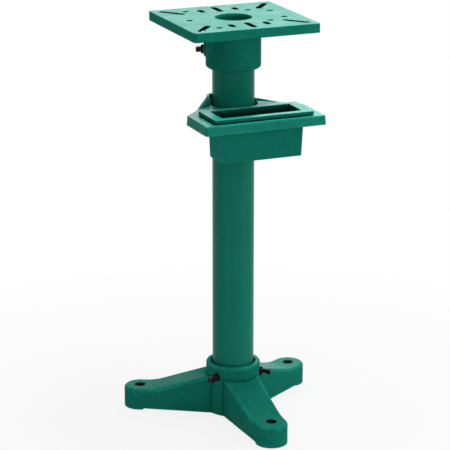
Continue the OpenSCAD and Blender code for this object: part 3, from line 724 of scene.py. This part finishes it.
chamfer = 0.6
inner_r = COLUMN_R - COLUMN_WALL
column = lathe("column_body", [
    (inner_r, COLUMN_Z0 + chamfer), (inner_r + chamfer, COLUMN_Z0), (COLUMN_R - chamfer, COLUMN_Z0),
    (COLUMN_R, COLUMN_Z0 + chamfer), (COLUMN_R, WEB_Z - chamfer), (COLUMN_R - chamfer, WEB_Z),
    (inner_r + chamfer, WEB_Z), (inner_r, WEB_Z - chamfer)], turns=192)
for face in column.data.polygons:
    face.use_smooth = abs(face.normal.z) < 0.5
column.data.set_sharp_from_angle(angle=math.radians(30))
finish_piece(column, "column", "column_tube", TUBE)

# The sets of screws: name, seat of the nuts, bare thread outside them, height and angles
SETS = (
    ("base", BASE_SEAT, 8, BASE_SCREW_Z, LOW_ANGLES),
    ("tray", TRAY_SEAT, 3, TRAY_SCREW_Z, LOW_ANGLES),
    ("plate", PLATE_SEAT, 1.5, PLATE_SCREW_Z, HIGH_ANGLES))
point_r = COLUMN_R + POINT_GAP
nut_mesh = None
for group, seat, bare, height, angles in SETS:
    length = seat + NUT_T + bare - point_r
    screw_mesh = None
    for side, angle in angles.items():
        for kind in ("set_screw", "lock_nut"):
            name = f"{group}_{kind}_{side}"
            known = screw_mesh if kind == "set_screw" else nut_mesh
            if known is None:
                if kind == "set_screw":
                    half = HEAD_W / 2 + 0.5
                    low, high = (-half, -half, 0), (half, half, length + HEAD_L)
                    obj = cast(name + "_body", screw_field(length), low, high, step=0.3, look=even_look)
                    screw_mesh = obj.data
                else:
                    half = NUT_W / 2 / math.cos(math.pi / 6)
                    low, high = (-half, -half, 0), (half, half, NUT_T)
                    obj = cast(name + "_body", nut_field, low, high, step=0.35, look=even_look)
                    nut_mesh = obj.data
            else:
                obj = bpy.data.objects.new(name + "_body", known)
                bpy.context.scene.collection.objects.link(obj)
            along = Vector((math.cos(math.radians(angle)), math.sin(math.radians(angle)), 0))
            start = point_r if kind == "set_screw" else seat
            rest = Matrix.Rotation(math.radians(angle), 4, "Z") @ Matrix.Rotation(math.pi / 2, 4, "Y")
            obj.matrix_world = Matrix.Translation(along * start * MM + Vector((0, 0, height * MM))) @ rest
            finish_piece(obj, name, name, OXIDE)


# Stage, lights and camera
def stage_plane(name, size, height):
    mesh = bpy.data.meshes.new(name)
    corners = [(-size, -size, height), (size, -size, height), (size, size, height), (-size, size, height)]
    mesh.from_pydata(corners, [], [(0, 1, 2, 3)])
    obj = bpy.data.objects.new(name, mesh)
    bpy.context.scene.collection.objects.link(obj)
    return obj


def seen_share(tree):
    """1 for what is seen, directly or in a reflection, and 0 for the light that it gives."""
    path = node(tree, "ShaderNodeLightPath").outputs
    mirrored = maths(tree, "MAXIMUM", path["Is Glossy Ray"], path["Is Transmission Ray"])
    return maths(tree, "MAXIMUM", path["Is Camera Ray"], mirrored)


# A pale floor that looks white from afar and takes soft shadows near the stand
floor = stage_plane("floor", size=60, height=-0.0002)
floor_mat, floor_tree, floor_shader = material("floor", (0.9, 0.9, 0.9), 0.9)
floor_shader.inputs["Specular IOR Level"].default_value = 0
floor.data.materials.append(floor_mat)
glow = node(floor_tree, "ShaderNodeEmission", {"Color": (1, 1, 1, 1), "Strength": 1.0})
spread = node(floor_tree, "ShaderNodeVectorMath", operation="LENGTH")
floor_tree.links.new(node(floor_tree, "ShaderNodeTexCoord").outputs["Object"], spread.inputs[0])
far = remap(floor_tree, spread.outputs["Value"], 0.35, 1.0, 0.85, 1.0)
share = maths(floor_tree, "MULTIPLY", seen_share(floor_tree), far)
mixed = node(floor_tree, "ShaderNodeMixShader", {0: share, 1: floor_shader.outputs[0], 2: glow.outputs[0]})
floor_tree.links.new(mixed.outputs[0], floor_tree.nodes["Material Output"].inputs["Surface"])

world = bpy.data.worlds.new("studio")
bpy.context.scene.world = world
world.use_nodes = True
tree = world.node_tree
background = tree.nodes["Background"]
background.inputs["Color"].default_value = (1, 1, 1, 1)
tree.links.new(remap(tree, seen_share(tree), 0, 1, 0.30, 1.0), background.inputs["Strength"])


def area_light(name, spot, target, size, power):
    data = bpy.data.lights.new(name, "AREA")
    data.shape = "RECTANGLE"
    data.size, data.size_y = size
    data.energy = power
    lamp = bpy.data.objects.new(name, data)
    bpy.context.scene.collection.objects.link(lamp)
    lamp.location = spot
    lamp.rotation_euler = (Vector(target) - Vector(spot)).to_track_quat("-Z", "Y").to_euler()
    return lamp


overhead = area_light("overhead", (0.2, -0.1, 1.55), (0, -0.05, 0.75), size=(0.7, 0.7), power=3.4)
overhead.data.spread = math.radians(120)
area_light("right_side", (1.0, 1.9, 1.9), (0, 0, 0.2), size=(1.2, 1.2), power=18)
area_light("front", (1.2, -2.0, 1.1), (0, 0, 0.5), size=(1.2, 0.8), power=10)
rear = area_light("rear", (0.9, 2.9, 1.7), (0, 0, 0.55), size=(1.8, 1.0), power=6)
rear.visible_camera = False

# The camera looks along a line that passes the stand's axis at the height AIM_Z, SIDEWAYS
# metres to the right of it
AZIMUTH, TILT = math.radians(-22.812), math.radians(16.957)
AIM_Z, SIDEWAYS, DISTANCE, LENS = 0.3872, -0.016108, 4.0964, 166.81
back = Vector((math.sin(AZIMUTH) * math.cos(TILT), -math.cos(AZIMUTH) * math.cos(TILT), math.sin(TILT)))
right = Vector((math.cos(AZIMUTH), math.sin(AZIMUTH), 0))
up = back.cross(right)
eye = Vector((0, 0, AIM_Z)) + right * SIDEWAYS + back * DISTANCE
camera = bpy.data.objects.new("camera", bpy.data.cameras.new("camera"))
camera.data.sensor_width = 36
camera.data.lens = LENS
camera.data.clip_end = 100
camera.matrix_world = Matrix((
    (right.x, up.x, back.x, eye.x), (right.y, up.y, back.y, eye.y),
    (right.z, up.z, back.z, eye.z), (0, 0, 0, 1)))
bpy.context.scene.collection.objects.link(camera)
bpy.context.scene.camera = camera
bpy.context.scene.view_settings.view_transform = "Standard"
